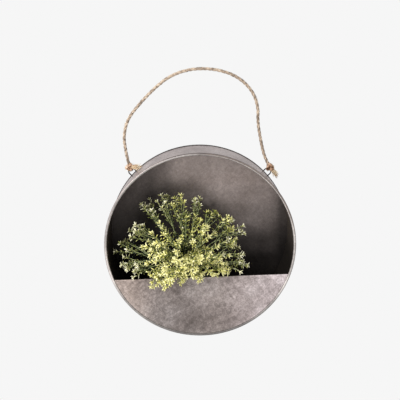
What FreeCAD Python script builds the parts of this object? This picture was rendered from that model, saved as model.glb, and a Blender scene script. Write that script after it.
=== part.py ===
import FreeCAD, Part
import math
import os
import Sketcher
from FreeCAD import Placement, Rotation, Vector

# A round sheet-metal wall planter: a shallow drum on its side with an open alcove above a half-moon
# pocket, a jute rope handle knotted to two wire loops, and an artificial plant in the pocket.
#
# Frame: millimetres, +Z up, the open front faces -Y, +X to the right as seen from the front.
# Origin: the centre of the back plate's outer face, which is the plane y = 0 that lies on the wall.

SIZES = (
    # the drum
    ("band_diameter", 352.0, "outside of the rolled band"),
    ("drum_depth", 100.0, "back face to the front of the rolled bead"),
    ("sheet_gauge", 0.8, "thickness of every sheet-metal piece"),
    ("bead_bore", 3.4, "hollow inside the bead rolled along the front edge"),
    ("curl_turn", 290.0, "degrees that the bead's sheet is rolled round"),
    ("lap_length", 14.0, "overlap of the band's two ends, underneath"),
    ("plate_flange", 6.0, "depth of the back plate's turned edge"),
    ("plate_play", 0.15, "between the turned edge and the band"),
    # the half-moon front
    ("lip_drop", 60.0, "lip below the drum's centre"),
    ("front_setback", 1.2, "front panel behind the front of the bead"),
    ("front_flange", 8.0, "depth of the front panel's turned edge"),
    ("front_play", 0.15, "between that edge and the band"),
    ("hem_depth", 7.0, "sheet folded back behind the lip"),
    ("hem_gap", 1.0, "open space inside the fold"),
    # the wire loops
    ("loop_gauge", 2.4, "wire of the loops"),
    ("loop_span", 13.0, "between the centres of a loop's legs"),
    ("loop_rise", 12.5, "centre of the loop's crown above the band"),
    ("loop_setback", 12.0, "legs in front of the back face"),
    ("loop_foot", 5.0, "length of a foot bent over inside the band"),
    ("loop_bend", 2.6, "bend radius of the feet, to the wire's centre"),
    ("hole_play", 0.25, "round each leg in its hole"),
    ("loop_angle_right", 41.8, "right loop above the horizontal, degrees"),
    ("loop_angle_left", 45.8, "left loop above the horizontal, degrees"),
    # the rope
    ("rope_diameter", 6.0, "three-strand jute"),
    ("knot_diameter", 16.5, "lump of each knot"),
    ("knot_rise", 4.0, "centre of the knot straight above the loop's crown"),
    ("knot_play", 0.2, "between a knot and the wire through it"),
    ("swing_play", 0.3, "between the rope's end and its knot"),
    ("tail_flare", 4.2, "radius of a frayed tail's end"),
    # the planting
    ("foam_width", 118.0, "foam block from side to side"),
    ("foam_offset", 30.0, "middle of the foam and of the plant left of the drum's centre"),
    ("foam_drop", 26.0, "top of the foam block below the lip"),
    ("foam_play", 0.3, "between the foam block and the sheet metal round it"),
    ("stem_diameter", 11.0, "gathered stems where they enter the foam"),
    ("stem_sunk", 38.0, "length of the stems inside the foam"),
    ("stem_play", 0.2, "round the stems in their hole"),
    ("crown_diameter", 25.0, "moulded ball that the sprigs spring from"),
    ("crown_rise", 12.0, "centre of that ball above the lip"),
    ("sprig_gauge", 2.2, "sprig at its root"),
    ("sprig_play", 0.3, "between the moulded ball and each sprig's root"),
    ("leaf_length", 9.0, "leaf from stalk to tip"),
    ("leaf_width", 5.4, "leaf across"),
    ("leaf_thickness", 1.0, "leaf at its midrib"),
)

# The rope's route above the two knots, as it lies in the plane of the loops: x, z of each point.
ROPE_ROUTE = (
    (-137.0, 170.0), (-139.5, 201.0), (-130.0, 233.0), (-107.5, 259.5), (-80.5, 286.0),
    (-47.0, 312.0), (-6.0, 324.0), (37.0, 322.5), (77.0, 309.5), (107.0, 282.5),
    (119.5, 250.0), (118.0, 217.0), (124.6, 181.0), (132.0, 151.5),
)

# Frayed ends, from the middle of the knot to the end of the tail: x, y, z.
TAIL_LEFT = (23.5, -13.0, 6.5)
TAIL_RIGHT = (14.0, -2.0, -13.5)

# Sprigs, from the crown to the tip: across and up as shares of the band's inner radius, forward as a
# share of the drum's depth, and how far the sprig arches above a straight line, as a share of radius.
SPRIGS = (
    # behind, standing up against the back plate
    (-0.23, -0.06, 0.76, 0.02), (-0.02, -0.02, 0.76, 0.02), (0.18, -0.16, 0.70, 0.02),
    (0.02, 0.16, 0.60, 0.03), (-0.44, 0.02, 0.68, 0.03), (0.33, -0.04, 0.56, 0.04),
    # to the right
    (0.50, 0.12, 0.50, 0.05), (0.63, -0.02, 0.40, 0.06), (0.54, 0.24, 0.30, 0.06),
    (0.61, 0.34, 0.15, 0.08), (0.65, 0.47, 0.05, 0.03),
    # to the left
    (-0.50, 0.28, 0.50, 0.04), (-0.58, 0.02, 0.40, 0.05), (-0.74, 0.20, 0.20, 0.06),
    (-0.66, 0.42, 0.10, 0.08), (-0.54, 0.54, -0.02, 0.12),
    # over the lip
    (-0.36, 0.66, -0.10, 0.17), (-0.22, 0.78, -0.10, 0.15), (-0.05, 0.72, -0.06, 0.20),
    (0.13, 0.70, -0.05, 0.19), (0.44, 0.58, 0.00, 0.13),
    # facing forwards
    (-0.20, 0.82, 0.48, 0.04), (0.03, 0.50, 0.60, 0.03), (0.25, 0.66, 0.42, 0.04),
    (0.07, 0.96, 0.20, 0.06), (-0.25, 0.90, 0.28, 0.06), (0.36, 0.80, 0.20, 0.06),
    (-0.38, 0.62, 0.32, 0.05), (-0.14, 0.95, 0.04, 0.09), (0.28, 0.86, 0.05, 0.07),
)
STEM_LENGTHS = 4        # straight lengths along a sprig's stem
LEAF_PAIRS = 4          # pairs of leaves on a sprig, below its end leaf
BARE_SHARE = 0.40       # share of a sprig that carries no leaves, next to the crown

# Small round forms are drawn with this many flats, which keeps their meshes light.
CURL_FLATS = 8
HEAD_FLATS = 6
ROUND_FLATS = 8

doc = FreeCAD.newDocument("wall_planter")
sheet = doc.addObject("Spreadsheet::Sheet", "Sizes")
sub_parts = []


def fill_sheet():
    for row, (alias, value, meaning) in enumerate(SIZES, start=1):
        sheet.set("A%d" % row, meaning)
        sheet.set("B%d" % row, str(value))
        sheet.setAlias("B%d" % row, alias)
    doc.recompute()


def value(expression):
    """The number that an expression on the sheet stands for."""
    result = sheet.evalExpression(expression)
    return result.Value if hasattr(result, "Value") else float(result)


def size(alias):
    return float(sheet.get(alias))


# Derived places, written once, as expressions that every sub-part shares.
BAND_OUT = "Sizes.band_diameter / 2"
BAND_IN = "(Sizes.band_diameter / 2 - Sizes.sheet_gauge)"
CURL_IN = "(Sizes.bead_bore / 2)"
CURL_OUT = "(Sizes.bead_bore / 2 + Sizes.sheet_gauge)"
BEAD_RADIUS = "(%s + %s)" % (BAND_IN, CURL_OUT)
BEAD_Y = "(%s - Sizes.drum_depth)" % CURL_OUT
PLATE_IN = "(%s + Sizes.plate_play)" % BAND_OUT
PLATE_OUT = "(%s + Sizes.sheet_gauge)" % PLATE_IN
FRONT_RADIUS = "(%s - Sizes.front_play)" % BAND_IN
FRONT_FACE = "(Sizes.front_setback - Sizes.drum_depth)"
HEM_OUT = "(Sizes.hem_gap / 2 + Sizes.sheet_gauge)"
HEM_Z = "(-Sizes.lip_drop - %s)" % HEM_OUT
HEM_Y = "(%s + %s)" % (FRONT_FACE, HEM_OUT)


def new_body(label):
    body = doc.addObject("PartDesign::Body", label)
    body.Label = label
    sub_parts.append(body)
    return body


def origin_feature(body, role):
    return next(item for item in body.Origin.OriginFeatures if item.Role == role)


def new_sketch(body, name, plane):
    sketch = body.newObject("Sketcher::SketchObject", name)
    sketch.AttachmentSupport = (origin_feature(body, plane), [""])
    sketch.MapMode = "FlatFace"
    return sketch


def pin(sketch, geometry, point, x, y):
    """Hold one point of the sketch at two expressions, measured from the sketch's origin."""
    for kind, expression, axis in (("DistanceX", x, -2), ("DistanceY", y, -1)):
        distance = value(expression)
        if distance == 0:
            sketch.addConstraint(Sketcher.Constraint("PointOnObject", geometry, point, axis))
            continue
        index = sketch.addConstraint(Sketcher.Constraint(kind, -1, 1, geometry, point, distance))
        sketch.setExpression("Constraints[%d]" % index, expression)


def draw_polygon(sketch, corners):
    """A closed outline of straight lines whose corners are pairs of expressions."""
    points = [Vector(value(x), value(y), 0) for x, y in corners]
    first = sketch.GeometryCount
    for start, end in zip(points, points[1:] + points[:1]):
        sketch.addGeometry(Part.LineSegment(start, end), False)
    for step, (x, y) in enumerate(corners):
        line = first + step
        following = first + (step + 1) % len(corners)
        sketch.addConstraint(Sketcher.Constraint("Coincident", line, 2, following, 1))
        pin(sketch, line, 1, x, y)


def round_x(middle, radius, angle):
    return "%s + %s * cos(%s)" % (middle, radius, angle)


def round_y(middle, radius, angle):
    return "%s + %s * sin(%s)" % (middle, radius, angle)


def draw_circle(sketch, x, y, radius):
    centre = Vector(value(x), value(y), 0)
    circle = sketch.addGeometry(Part.Circle(centre, Vector(0, 0, 1), value(radius)), False)
    pin(sketch, circle, 3, x, y)
    index = sketch.addConstraint(Sketcher.Constraint("Radius", circle, value(radius)))
    sketch.setExpression("Constraints[%d]" % index, radius)
    return circle


def draw_ring_sector(sketch, x, y, inner, outer, start, end):
    """Part of a ring, from angle start to angle end in degrees, counter-clockwise."""
    centre = Vector(value(x), value(y), 0)
    turn = [math.radians(value(start)), math.radians(value(end))]
    arcs = []
    for radius in (inner, outer):
        round_edge = Part.Circle(centre, Vector(0, 0, 1), value(radius))
        arcs.append(sketch.addGeometry(Part.ArcOfCircle(round_edge, turn[0], turn[1]), False))
    pin(sketch, arcs[0], 3, x, y)
    sketch.addConstraint(Sketcher.Constraint("Coincident", arcs[0], 3, arcs[1], 3))
    for arc, radius in zip(arcs, (inner, outer)):
        index = sketch.addConstraint(Sketcher.Constraint("Radius", arc, value(radius)))
        sketch.setExpression("Constraints[%d]" % index, radius)
    for end_point, angle, expression in ((1, turn[0], start), (2, turn[1], end)):
        spoke = Vector(math.cos(angle), math.sin(angle), 0)
        line = sketch.addGeometry(
            Part.LineSegment(centre + spoke * value(inner), centre + spoke * value(outer)), False)
        sketch.addConstraint(Sketcher.Constraint("Coincident", line, 1, arcs[0], end_point))
        sketch.addConstraint(Sketcher.Constraint("Coincident", line, 2, arcs[1], end_point))
        index = sketch.addConstraint(Sketcher.Constraint("Angle", line, angle))
        sketch.setExpression("Constraints[%d]" % index, expression)


def revolve(body, sketch, name, angle="360", midplane=False):
    feature = body.newObject("PartDesign::Revolution", name)
    feature.Profile = sketch
    feature.ReferenceAxis = (origin_feature(body, "Y_Axis"), [""])
    feature.Midplane = midplane
    feature.setExpression("Angle", angle)
    return feature


def extrude(body, sketch, name, length, kind="PartDesign::Pad", both_ways=False, backwards=False):
    feature = body.newObject(kind, name)
    feature.Profile = sketch
    feature.setExpression("Length", length)
    feature.SideType = "Symmetric" if both_ways else "One side"
    feature.Reversed = backwards
    return feature


def check_volume(feature, before, grows):
    """Stop if a feature changed nothing, which raises no error by itself."""
    doc.recompute()
    change = feature.Shape.Volume - before
    if (change > 0) != grows or abs(change) < 0.1:
        raise RuntimeError("%s changed the volume by %.3f" % (feature.Name, change))


# ------------------------------------------------------------------------------------ the drum

def make_back_plate():
    """A disc whose edge is turned forwards over the band."""
    body = new_body("back_plate")
    section = new_sketch(body, "plate_section", "YZ_Plane")
    draw_polygon(section, (
        ("0", "0"),
        ("0", PLATE_OUT),
        ("-Sizes.plate_flange", PLATE_OUT),
        ("-Sizes.plate_flange", PLATE_IN),
        ("-Sizes.sheet_gauge", PLATE_IN),
        ("-Sizes.sheet_gauge", "0"),
    ))
    revolve(body, section, "plate_turned")


def make_rim_band():
    """The drum's wall: a rolled strip, lapped underneath, its front edge curled out into a bead."""
    body = new_body("rim_band")
    wall = new_sketch(body, "wall_section", "YZ_Plane")
    draw_polygon(wall, (
        ("-Sizes.sheet_gauge", BAND_IN),
        ("-Sizes.sheet_gauge", BAND_OUT),
        (BEAD_Y, BAND_OUT),
        (BEAD_Y, BAND_IN),
    ))
    rolled = revolve(body, wall, "wall_rolled")

    curl = new_sketch(body, "curl_section", "YZ_Plane")
    spokes = ["(270 - Sizes.curl_turn * %d / %d)" % (step, CURL_FLATS) for step in range(CURL_FLATS + 1)]
    outer = [(round_x(BEAD_Y, CURL_OUT, spoke), round_y(BEAD_RADIUS, CURL_OUT, spoke)) for spoke in spokes]
    inner = [(round_x(BEAD_Y, CURL_IN, spoke), round_y(BEAD_RADIUS, CURL_IN, spoke)) for spoke in spokes[::2]]
    draw_polygon(curl, (*outer, *reversed(inner)))
    doc.recompute()
    volume = rolled.Shape.Volume
    bead = revolve(body, curl, "bead_curled")
    check_volume(bead, volume, True)

    lap = new_sketch(body, "lap_section", "YZ_Plane")
    lap_front = "%s + 2 * %s" % (BEAD_Y, CURL_OUT)
    lap_back = "-Sizes.plate_flange - 1"
    draw_polygon(lap, (
        (lap_front, "-%s" % BAND_OUT),
        (lap_front, "-%s - Sizes.sheet_gauge" % BAND_OUT),
        (lap_back, "-%s - Sizes.sheet_gauge" % BAND_OUT),
        (lap_back, "-%s" % BAND_OUT),
    ))
    volume = bead.Shape.Volume
    lapped = revolve(body, lap, "lap_joint", "Sizes.lap_length / Sizes.band_diameter * 360 / pi", True)
    check_volume(lapped, volume, True)

    before = lapped
    for side, angle in (("right", "90 - Sizes.loop_angle_right"), ("left", "Sizes.loop_angle_left - 90")):
        holes = new_sketch(body, "holes_%s" % side, "XY_Plane")
        holes.AttachmentOffset = Placement(Vector(), Rotation(Vector(0, 1, 0), value(angle)))
        for leg in ("-Sizes.loop_span / 2", "Sizes.loop_span / 2"):
            draw_circle(holes, leg, "-Sizes.loop_setback", "Sizes.loop_gauge / 2 + Sizes.hole_play")
        doc.recompute()
        volume = before.Shape.Volume
        before = extrude(body, holes, "leg_holes_%s" % side, "Sizes.band_diameter",
                         "PartDesign::Pocket", backwards=True)
        check_volume(before, volume, False)


def make_front_panel():
    """The half-moon front of the pocket: a hemmed lip and a turned edge soldered inside the band."""
    body = new_body("front_panel")
    face = new_sketch(body, "panel_outline", "XZ_Plane")
    face.AttachmentOffset = Placement(Vector(0, 0, -value(FRONT_FACE) - size("sheet_gauge")), Rotation())
    radius = value(FRONT_RADIUS)
    top = value(HEM_Z)
    corner = math.asin(top / radius)
    rim = sketch_arc(face, radius, math.pi - corner, 2 * math.pi + corner)
    half = radius * math.cos(corner)
    chord = face.addGeometry(Part.LineSegment(Vector(half, top, 0), Vector(-half, top, 0)), False)
    face.addConstraint(Sketcher.Constraint("Coincident", rim, 3, -1, 1))
    face.addConstraint(Sketcher.Constraint("Coincident", chord, 1, rim, 2))
    face.addConstraint(Sketcher.Constraint("Coincident", chord, 2, rim, 1))
    face.addConstraint(Sketcher.Constraint("Horizontal", chord))
    index = face.addConstraint(Sketcher.Constraint("Radius", rim, radius))
    face.setExpression("Constraints[%d]" % index, FRONT_RADIUS)
    index = face.addConstraint(Sketcher.Constraint("DistanceY", -1, 1, chord, 1, top))
    face.setExpression("Constraints[%d]" % index, HEM_Z)
    panel = extrude(body, face, "panel", "Sizes.sheet_gauge")

    flange = new_sketch(body, "flange_section", "YZ_Plane")
    flange_back = "%s + Sizes.front_flange" % FRONT_FACE
    draw_polygon(flange, (
        (FRONT_FACE, "-%s" % FRONT_RADIUS),
        (FRONT_FACE, "Sizes.sheet_gauge - %s" % FRONT_RADIUS),
        (flange_back, "Sizes.sheet_gauge - %s" % FRONT_RADIUS),
        (flange_back, "-%s" % FRONT_RADIUS),
    ))
    doc.recompute()
    volume = panel.Shape.Volume
    sweep = "2 * acos((Sizes.lip_drop + Sizes.hem_depth + 2 * %s) / %s)" % (HEM_OUT, FRONT_RADIUS)
    turned = revolve(body, flange, "flange_turned", sweep, True)
    check_volume(turned, volume, True)

    fold = new_sketch(body, "hem_fold", "YZ_Plane")
    draw_ring_sector(fold, HEM_Y, HEM_Z, "Sizes.hem_gap / 2", HEM_OUT, "0", "180")
    volume = turned.Shape.Volume
    folded = extrude(body, fold, "hem_folded", "2 * %s" % FRONT_RADIUS, both_ways=True)
    check_volume(folded, volume, True)

    leg = new_sketch(body, "hem_return", "YZ_Plane")
    draw_polygon(leg, (
        ("%s + Sizes.hem_gap / 2" % HEM_Y, HEM_Z),
        ("%s + %s" % (HEM_Y, HEM_OUT), HEM_Z),
        ("%s + %s" % (HEM_Y, HEM_OUT), "%s - Sizes.hem_depth" % HEM_Z),
        ("%s + Sizes.hem_gap / 2" % HEM_Y, "%s - Sizes.hem_depth" % HEM_Z),
    ))
    volume = folded.Shape.Volume
    returned = extrude(body, leg, "hem_returned", "2 * %s" % FRONT_RADIUS, both_ways=True)
    check_volume(returned, volume, True)

    ends = new_sketch(body, "hem_ends", "XZ_Plane")
    draw_circle(ends, "0", "0", FRONT_RADIUS)
    draw_circle(ends, "0", "0", "1.5 * %s" % FRONT_RADIUS)
    volume = returned.Shape.Volume
    trimmed = extrude(body, ends, "hem_trimmed", "2 * Sizes.drum_depth", "PartDesign::Pocket", both_ways=True)
    check_volume(trimmed, volume, False)


def sketch_arc(sketch, radius, start, end):
    circle = Part.Circle(Vector(), Vector(0, 0, 1), radius)
    return sketch.addGeometry(Part.ArcOfCircle(circle, start, end), False)


# ----------------------------------------------------------------------------- loops and rope

def loop_placement(side):
    """Where a loop's own frame lies: local Z points outwards from the drum, through the loop."""
    angle = 90 - size("loop_angle_right") if side == "right" else size("loop_angle_left") - 90
    return Placement(Vector(0, -size("loop_setback"), 0), Rotation(Vector(0, 1, 0), angle))


def loop_path():
    """The centre line of a loop: foot, leg, round crown, leg, foot, in the loop's own frame."""
    half = size("loop_span") / 2
    bend = size("loop_bend")
    toe = half + bend + size("loop_foot")
    clear = size("loop_gauge") / 2 + size("hole_play")
    foot_z = math.sqrt(value(BAND_IN) ** 2 - toe ** 2) - clear
    crown_z = size("band_diameter") / 2 + size("loop_rise")
    lean = bend * (1 - math.sqrt(0.5))
    left = (
        Part.LineSegment(Vector(-toe, 0, foot_z), Vector(-half - bend, 0, foot_z)),
        Part.Arc(Vector(-half - bend, 0, foot_z), Vector(-half - lean, 0, foot_z + lean),
                 Vector(-half, 0, foot_z + bend)),
        Part.LineSegment(Vector(-half, 0, foot_z + bend), Vector(-half, 0, crown_z - half)),
    )
    crown = Part.Arc(Vector(-half, 0, crown_z - half), Vector(0, 0, crown_z), Vector(half, 0, crown_z - half))
    right = (
        Part.LineSegment(Vector(half, 0, crown_z - half), Vector(half, 0, foot_z + bend)),
        Part.Arc(Vector(half, 0, foot_z + bend), Vector(half + lean, 0, foot_z + lean),
                 Vector(half + bend, 0, foot_z)),
        Part.LineSegment(Vector(half + bend, 0, foot_z), Vector(toe, 0, foot_z)),
    )
    return Part.Wire([piece.toShape() for piece in (*left, crown, *right)])


def swept(path, radius):
    """A solid of one radius along the whole path."""
    first = path.OrderedEdges[0]
    start = first.valueAt(first.FirstParameter)
    axis = first.tangentAt(first.FirstParameter)
    ring = ring_of_points(start, axis, radius, ROUND_FLATS)
    return path.makePipeShell([Part.makePolygon([*ring, ring[0]])], True, False, 2)


def make_feature(label, shape, placement=None):
    feature = doc.addObject("Part::Feature", label)
    feature.Label = label
    feature.Shape = shape
    if placement:
        feature.Placement = placement
    return feature


def make_loop(side):
    """A staple of bent wire through two holes in the band, its feet clinched over inside."""
    wire = swept(loop_path(), size("loop_gauge") / 2)
    feature = make_feature("loop_%s" % side, wire, loop_placement(side))
    sub_parts.append(feature)


def knot_centre(side):
    crown = loop_placement(side).multVec(Vector(0, 0, size("band_diameter") / 2 + size("loop_rise")))
    return crown + Vector(0, 0, size("knot_rise"))


def hinge_direction():
    """Along the line through both knots, about which the rope swings."""
    return (knot_centre("right") - knot_centre("left")).normalize()


def ring_of_points(centre, axis, radius, flats):
    side = axis.cross(Vector(0, 0.6, 0.8)).normalize()
    up = side.cross(axis).normalize()
    angles = [2 * math.pi * step / flats for step in range(flats)]
    return [centre + side * (radius * math.cos(angle)) + up * (radius * math.sin(angle)) for angle in angles]


def closed_solid(faces):
    shell = Part.Shell([Part.Face(Part.makePolygon([*corners, corners[0]])) for corners in faces])
    solid = Part.Solid(shell)
    if solid.Volume < 0:
        solid.reverse()
    return solid


def ringed_solid(rings):
    """A solid through rings of equally many points, its sides split into flat triangles."""
    faces = [rings[0], rings[-1]]
    for ring, following in zip(rings, rings[1:]):
        for corner in range(len(ring)):
            after = (corner + 1) % len(ring)
            faces.append((ring[corner], ring[after], following[after]))
            faces.append((ring[corner], following[after], following[corner]))
    return closed_solid(faces)


def turned_solid(middle, axis, profile):
    """A solid with flats round an axis, from pairs of radius and height above the middle."""
    return ringed_solid([ring_of_points(middle + axis * height, axis, radius, ROUND_FLATS)
                         for radius, height in profile])


def make_knot(side, tail):
    """A knot drawn tight on the crown of its loop: two turns of rope with the frayed end sticking out."""
    width = size("knot_diameter")
    turns = turned_solid(knot_centre(side), hinge_direction(), (
        (0.20 * width, -0.45 * width),
        (0.39 * width, -0.30 * width),
        (0.47 * width, -0.16 * width),
        (0.40 * width, 0),
        (0.47 * width, 0.16 * width),
        (0.39 * width, 0.30 * width),
        (0.20 * width, 0.45 * width),
    ))
    reach = Vector(*tail)
    strand = size("rope_diameter") * 0.42
    flare = size("tail_flare")
    end = turned_solid(knot_centre(side), Vector(*tail).normalize(), (
        (strand, 0),
        (strand, 0.62 * reach.Length),
        (flare, 0.86 * reach.Length),
        (0.7 * flare, reach.Length),
    ))
    whole = make_feature("knot_whole_%s" % side, turns.fuse(end))
    room = swept(loop_path(), size("loop_gauge") / 2 + size("knot_play"))
    tunnel = make_feature("knot_tunnel_%s" % side, room, loop_placement(side))
    knot = doc.addObject("Part::Cut", "knot_%s" % side)
    knot.Label = "knot_%s" % side
    knot.Base = whole
    knot.Tool = tunnel
    sub_parts.append(knot)


def rounded_route(points):
    """Straight runs joined by arcs that are as large as the two runs at each point allow."""
    edges = []
    start = points[0]
    for before, corner, after in zip(points, points[1:], points[2:]):
        back = before - corner
        ahead = after - corner
        half_turn = (math.pi - back.getAngle(ahead)) / 2
        reach = 0.45 * min(back.Length, ahead.Length)
        radius = reach / math.tan(half_turn)
        back.normalize()
        ahead.normalize()
        entry = corner + back * reach
        leave = corner + ahead * reach
        inward = back + ahead
        inward.normalize()
        middle = corner + inward * (radius / math.cos(half_turn) - radius)
        edges.append(Part.LineSegment(start, entry).toShape())
        edges.append(Part.Arc(entry, middle, leave).toShape())
        print("rope turns %5.1f degrees on a radius of %6.1f" % (math.degrees(2 * half_turn), radius))
        start = leave
    edges.append(Part.LineSegment(start, points[-1]).toShape())
    return Part.Wire(edges)


def make_rope():
    """The jute handle, from one knot over the drum to the other."""
    y = -size("loop_setback")
    stand_off = size("knot_diameter") / 2 + size("swing_play")
    route = [Vector(x, y, z) for x, z in ROPE_ROUTE]
    ends = []
    for side, nearest in (("left", route[0]), ("right", route[-1])):
        away = nearest - knot_centre(side)
        away.normalize()
        ends.append(knot_centre(side) + away * stand_off)
    wire = rounded_route([ends[0], *route, ends[1]])
    radius = size("rope_diameter") / 2
    rope = make_feature("rope", swept(wire, radius))
    section = ROUND_FLATS / 2 * radius ** 2 * math.sin(2 * math.pi / ROUND_FLATS)
    expected = section * wire.Length
    print("rope length %.1f, volume %.1f, section times length %.1f"
          % (wire.Length, rope.Shape.Volume, expected))
    if abs(rope.Shape.Volume - expected) > 0.01 * expected:
        raise RuntimeError("the rope's volume is not its section times its length")
    sub_parts.append(rope)


# -------------------------------------------------------------------------------- the planting

def crown_centre():
    return Vector(-size("foam_offset"), -size("drum_depth") / 2, size("crown_rise") - size("lip_drop"))


def make_foam_block():
    """Dry floral foam cut to the curve of the pocket, with a hole for the gathered stems."""
    hem_back = "(%s + %s)" % (HEM_Y, HEM_OUT)
    depth = "(-%s - Sizes.sheet_gauge - 2 * Sizes.foam_play)" % hem_back
    brick = doc.addObject("Part::Box", "foam_brick")
    brick.setExpression("Length", "Sizes.foam_width")
    brick.setExpression("Width", depth)
    brick.setExpression("Height", "Sizes.band_diameter / 2")
    top = -size("lip_drop") - size("foam_drop")
    brick.Placement = Placement(Vector(-size("foam_offset") - size("foam_width") / 2,
                                       value(hem_back) + size("foam_play"),
                                       top - size("band_diameter") / 2), Rotation())
    curve = doc.addObject("Part::Cylinder", "foam_curve")
    curve.setExpression("Radius", "%s - Sizes.sheet_gauge - Sizes.foam_play" % FRONT_RADIUS)
    curve.setExpression("Height", "Sizes.drum_depth")
    curve.Placement = Placement(Vector(), Rotation(Vector(1, 0, 0), 90))
    cut_round = doc.addObject("Part::Common", "foam_rounded")
    cut_round.Base = brick
    cut_round.Tool = curve

    hole = doc.addObject("Part::Cylinder", "stem_hole")
    hole.setExpression("Radius", "Sizes.stem_diameter / 2 + Sizes.stem_play")
    hole.setExpression("Height", "2 * Sizes.stem_sunk")
    middle = crown_centre()
    hole.Placement = Placement(Vector(middle.x, middle.y, top - size("stem_sunk")), Rotation())
    block = doc.addObject("Part::Cut", "foam_block")
    block.Label = "foam_block"
    block.Base = cut_round
    block.Tool = hole
    sub_parts.append(block)


def make_stem_crown():
    """The gathered stems and the moulded head that every sprig springs from."""
    body = new_body("stem_crown")
    outline = new_sketch(body, "stem_section", "XZ_Plane")
    foot = "(Sizes.crown_rise + Sizes.foam_drop + Sizes.stem_sunk)"
    ball = "(Sizes.crown_diameter / 2)"
    stem = "(Sizes.stem_diameter / 2)"
    neck = "acos(%s / %s)" % (stem, ball)
    angles = ["((90 deg + %s) * %d / %d - %s)" % (neck, step, HEAD_FLATS, neck) for step in range(HEAD_FLATS)]
    head = [(round_x("0", ball, angle), round_y("0", ball, angle)) for angle in angles]
    draw_polygon(outline, (
        ("0", "-%s" % foot),
        (stem, "-%s" % foot),
        *head,
        ("0", ball),
    ))
    stalk = body.newObject("PartDesign::Revolution", "stalk_and_head")
    stalk.Profile = outline
    stalk.ReferenceAxis = (origin_feature(body, "Z_Axis"), [""])
    body.Placement = Placement(crown_centre(), Rotation())


def bow_point(start, control, end, share):
    """A point on the bow from start to end that leans towards control."""
    return start * (1 - share) ** 2 + control * (2 * share * (1 - share)) + end * share ** 2


def along_stem(points, share):
    """A point on the straight lengths of a stem, and the direction of the stem there."""
    place = min(share, 0.999) * (len(points) - 1)
    step = int(place)
    run = points[step + 1] - points[step]
    here = points[step] + run * (place - step)
    return here, run.normalize()


def leaf_solid(base, along, across):
    """A leaf as a flat double pyramid: widest at two fifths of its length, thickest at its midrib."""
    lift = along.cross(across)
    lift.normalize()
    tip = base + along * size("leaf_length")
    waist = base + along * (size("leaf_length") * 0.42)
    left = waist + across * (size("leaf_width") / 2)
    right = waist - across * (size("leaf_width") / 2)
    above = waist + lift * (size("leaf_thickness") / 2)
    below = waist - lift * (size("leaf_thickness") / 2)
    ring = (left, above, right, below)
    faces = []
    for corner, following in zip(ring, ring[1:] + ring[:1]):
        faces.append((base, corner, following))
        faces.append((tip, following, corner))
    return closed_solid(faces)


def stem_solid(points, root_radius, tip_radius):
    """A square, tapered stem through the points."""
    rings = []
    for index, point in enumerate(points):
        tangent = points[min(index + 1, len(points) - 1)] - points[max(index - 1, 0)]
        share = index / (len(points) - 1)
        radius = root_radius * (1 - share) + tip_radius * share
        rings.append(ring_of_points(point, tangent.normalize(), radius, 4))
    return ringed_solid(rings)


def make_sprig(number, tip):
    """One moulded sprig: a bowed stem with pairs of leaves, each pair turned across the last."""
    across, forward, up, arch = tip
    radius = value(BAND_IN)
    centre = crown_centre()
    reach = Vector(across * radius, -forward * size("drum_depth"), up * radius)
    end = centre + reach
    control = centre + reach * 0.5 + Vector(0, 0, arch * radius)
    leave = control - centre
    leave.normalize()
    start = centre + leave * (size("crown_diameter") / 2 + size("sprig_play"))
    points = [bow_point(start, control, end, step / STEM_LENGTHS) for step in range(STEM_LENGTHS + 1)]
    stem = stem_solid(points, size("sprig_gauge") / 2, size("sprig_gauge") / 4)
    leaves = []
    for pair in range(LEAF_PAIRS + 1):
        here, tangent = along_stem(points, BARE_SHARE + (1 - BARE_SHARE) * pair / LEAF_PAIRS)
        side = tangent.cross(Vector(0, 0.6, 0.8)).normalize()
        turned = Rotation(tangent, 90.0 * pair + 37.0 * number).multVec(side)
        flat = tangent.cross(turned)
        if pair == LEAF_PAIRS:
            leaves.append(leaf_solid(here - tangent * 0.5, tangent, turned))
            continue
        for sign in (1, -1):
            lean = (tangent * 0.62 + turned * (0.78 * sign)).normalize()
            leaves.append(leaf_solid(here, lean, flat))
    sprig = make_feature("sprig_%02d" % number, stem.multiFuse(leaves))
    if len(sprig.Shape.Solids) != 1:
        raise RuntimeError("a leaf of sprig %d is off its stem" % number)
    sub_parts.append(sprig)


# --------------------------------------------------------------------------- build and write

def check_document():
    doc.recompute()
    for item in doc.Objects:
        if "Invalid" in item.State or "Error" in item.State:
            raise RuntimeError("%s failed: %s" % (item.Name, item.State))
    for item in sub_parts:
        if item.Shape.isNull() or not item.Shape.isValid() or item.Shape.Volume <= 0:
            raise RuntimeError("%s has no valid solid" % item.Label)


def write_parts():
    os.makedirs("parts", exist_ok=True)
    for item in sub_parts:
        item.Shape.exportStep("parts/%s.step" % item.Label)
    print("%d sub-parts written" % len(sub_parts))


fill_sheet()
make_back_plate()
make_rim_band()
make_front_panel()
for loop_side, loop_tail in (("left", TAIL_LEFT), ("right", TAIL_RIGHT)):
    make_loop(loop_side)
    make_knot(loop_side, loop_tail)
make_rope()
make_foam_block()
make_stem_crown()
for sprig_number, sprig_tip in enumerate(SPRIGS, start=1):
    make_sprig(sprig_number, sprig_tip)
check_document()
write_parts()
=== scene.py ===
import math
import random

import bmesh
import bpy
from mathutils import Matrix, Vector


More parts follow.
